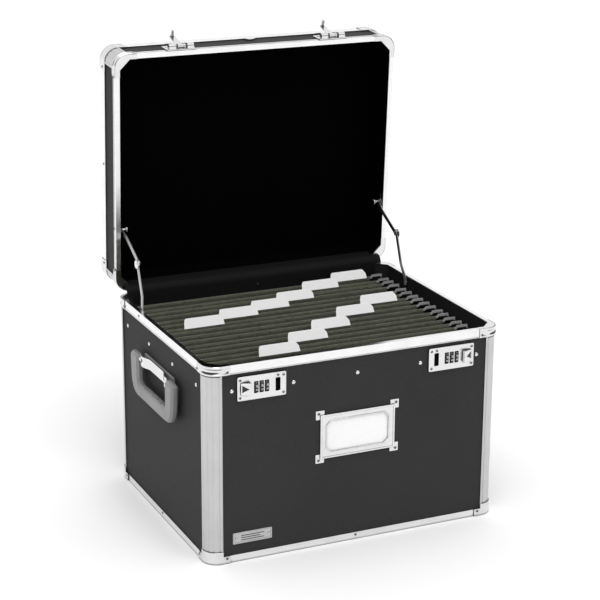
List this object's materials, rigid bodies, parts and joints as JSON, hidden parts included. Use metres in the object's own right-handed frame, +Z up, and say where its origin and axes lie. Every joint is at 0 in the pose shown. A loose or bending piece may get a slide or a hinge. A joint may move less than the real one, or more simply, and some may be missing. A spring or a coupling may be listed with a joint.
{
  "type": "locking file chest",
  "caption": "Box-shaped file chest with an open hinged lid, aluminium edge trim, combination locks with hasps, side handles, label holder, lid stays and a row of hanging folders.",
  "frame": {"origin": "middle of the chest underside, where it meets the floor", "axes": "+Z up, +X to the right seen from the locks, +Y from the locks towards the hinge"},
  "size_m": [0.474, 0.4325, 0.6685],
  "materials": {
    "laminate": "fine-textured black laminate on fibreboard",
    "bright_trim": "bright anodised extrusion",
    "satin_trim": "satin fluted extrusion",
    "chrome": "polished plate",
    "steel": "plain steel",
    "grey_plastic": "moulded grey, fine grain",
    "black_plastic": "moulded black",
    "card_white": "plain white card",
    "card_olive": "olive-green folder card"
  },
  "bodies": {
    "case": {"case_floor_panel": "laminate", "case_front_panel": "laminate", "case_rear_panel": "laminate", "case_left_panel": "laminate", "case_right_panel": "laminate", "case_rim_frame": "bright_trim", "case_base_frame": "bright_trim", "case_post_front_left": "satin_trim", "base_cap_front_left": "chrome", "case_post_front_right": "satin_trim", "base_cap_front_right": "chrome", "case_post_rear_right": "satin_trim", "base_cap_rear_right": "chrome", "case_post_rear_left": "satin_trim", "base_cap_rear_left": "chrome", "hinge_leaf_case": "steel", "hinge_pin": "steel", "lock_left": "chrome", "handle_strap_left": "chrome", "handle_mount_left": "grey_plastic", "file_rail_left": "black_plastic", "lock_right": "chrome", "handle_strap_right": "chrome", "handle_mount_right": "grey_plastic", "file_rail_right": "black_plastic", "label_holder": "chrome", "label_card": "card_white", "nameplate": "satin_trim"},
    "lid": {"lid_top_panel": "laminate", "lid_front_panel": "laminate", "lid_rear_panel": "laminate", "lid_left_panel": "laminate", "lid_right_panel": "laminate", "lid_rim_frame": "bright_trim", "lid_top_frame": "bright_trim", "hinge_leaf_lid": "steel", "hasp_plate_left": "chrome", "hasp_plate_right": "chrome", "lid_front_tab": "chrome", "lid_post_front_left": "satin_trim", "lid_post_front_right": "satin_trim", "lid_post_rear_right": "satin_trim", "lid_post_rear_left": "satin_trim"},
    "hasp_left": {"hasp_arm_left": "chrome"},
    "thumb_left": {"lock_thumb_left": "chrome"},
    "grip_left": {"handle_grip_left": "grey_plastic"},
    "stay_lower_left": {"stay_lower_left": "steel"},
    "stay_upper_left": {"stay_upper_left": "steel"},
    "dial_left_inner": {"lock_dial_left_inner": "steel"},
    "dial_left_middle": {"lock_dial_left_middle": "steel"},
    "dial_left_outer": {"lock_dial_left_outer": "steel"},
    "hasp_right": {"hasp_arm_right": "chrome"},
    "thumb_right": {"lock_thumb_right": "chrome"},
    "grip_right": {"handle_grip_right": "grey_plastic"},
    "stay_lower_right": {"stay_lower_right": "steel"},
    "stay_upper_right": {"stay_upper_right": "steel"},
    "dial_right_inner": {"lock_dial_right_inner": "steel"},
    "dial_right_middle": {"lock_dial_right_middle": "steel"},
    "dial_right_outer": {"lock_dial_right_outer": "steel"},
    "files": {"hanging_files": "card_olive"}
  },
  "joints": [
    {"name": "lid_hinge", "type": "hinge", "parent": "case", "child": "lid", "pos_m": [0, 0.1807, 0.286], "axis": [-1, 0, 0], "range_deg": [-87, 0]},
    {"name": "stay_lower_pivot_left", "type": "hinge", "parent": "case", "child": "stay_lower_left", "pos_m": [-0.2102, 0.0913, 0.2743], "axis": [-1, 0, 0], "range_deg": [-102.6, 0]},
    {"name": "stay_upper_pivot_left", "type": "hinge", "parent": "lid", "child": "stay_upper_left", "pos_m": [-0.2083, 0.18563, 0.38119], "axis": [-1, 0, 0], "range_deg": [0, 105.8]},
    {"name": "stay_lower_pivot_right", "type": "hinge", "parent": "case", "child": "stay_lower_right", "pos_m": [0.2102, 0.0913, 0.2743], "axis": [-1, 0, 0], "range_deg": [-102.6, 0]},
    {"name": "stay_upper_pivot_right", "type": "hinge", "parent": "lid", "child": "stay_upper_right", "pos_m": [0.2083, 0.18563, 0.38119], "axis": [-1, 0, 0], "range_deg": [0, 105.8]},
    {"name": "hasp_pivot_left", "type": "hinge", "parent": "lid", "child": "hasp_left", "pos_m": [-0.1205, 0.16713, 0.65009], "axis": [-1, 0, 0], "range_deg": [-168, 0]},
    {"name": "hasp_pivot_right", "type": "hinge", "parent": "lid", "child": "hasp_right", "pos_m": [0.1205, 0.16713, 0.65009], "axis": [-1, 0, 0], "range_deg": [-168, 0]},
    {"name": "thumb_slide_left", "type": "slide", "parent": "case", "child": "thumb_left", "axis": [-1, 0, 0], "range_m": [0, 0.004], "stiffness_N_per_m": 150},
    {"name": "thumb_slide_right", "type": "slide", "parent": "case", "child": "thumb_right", "axis": [1, 0, 0], "range_m": [0, 0.004], "stiffness_N_per_m": 150},
    {"name": "dial_turn_left_inner", "type": "hinge", "parent": "case", "child": "dial_left_inner", "pos_m": [-0.1366, -0.1727, 0.251], "axis": [1, 0, 0], "continuous": true},
    {"name": "dial_turn_left_middle", "type": "hinge", "parent": "case", "child": "dial_left_middle", "pos_m": [-0.1444, -0.1727, 0.251], "axis": [1, 0, 0], "continuous": true},
    {"name": "dial_turn_left_outer", "type": "hinge", "parent": "case", "child": "dial_left_outer", "pos_m": [-0.1522, -0.1727, 0.251], "axis": [1, 0, 0], "continuous": true},
    {"name": "dial_turn_right_inner", "type": "hinge", "parent": "case", "child": "dial_right_inner", "pos_m": [0.1366, -0.1727, 0.251], "axis": [1, 0, 0], "continuous": true},
    {"name": "dial_turn_right_middle", "type": "hinge", "parent": "case", "child": "dial_right_middle", "pos_m": [0.1444, -0.1727, 0.251], "axis": [1, 0, 0], "continuous": true},
    {"name": "dial_turn_right_outer", "type": "hinge", "parent": "case", "child": "dial_right_outer", "pos_m": [0.1522, -0.1727, 0.251], "axis": [1, 0, 0], "continuous": true},
    {"name": "grip_swing_left", "type": "hinge", "parent": "case", "child": "grip_left", "pos_m": [-0.23125, 0, 0.226], "axis": [0, 1, 0], "range_deg": [0, 95]},
    {"name": "grip_swing_right", "type": "hinge", "parent": "case", "child": "grip_right", "pos_m": [0.23125, 0, 0.226], "axis": [0, -1, 0], "range_deg": [0, 95]},
    {"name": "files_lift", "type": "slide", "parent": "case", "child": "files", "axis": [0, 0, 1], "range_m": [0, 0.26]}
  ],
  "couplings": [
    {"joint": "stay_lower_pivot_left", "follows": "lid_hinge", "ratio": 1.1786},
    {"joint": "stay_upper_pivot_left", "follows": "lid_hinge", "ratio": -1.2156},
    {"joint": "stay_lower_pivot_right", "follows": "lid_hinge", "ratio": 1.1786},
    {"joint": "stay_upper_pivot_right", "follows": "lid_hinge", "ratio": -1.2156}
  ]
}
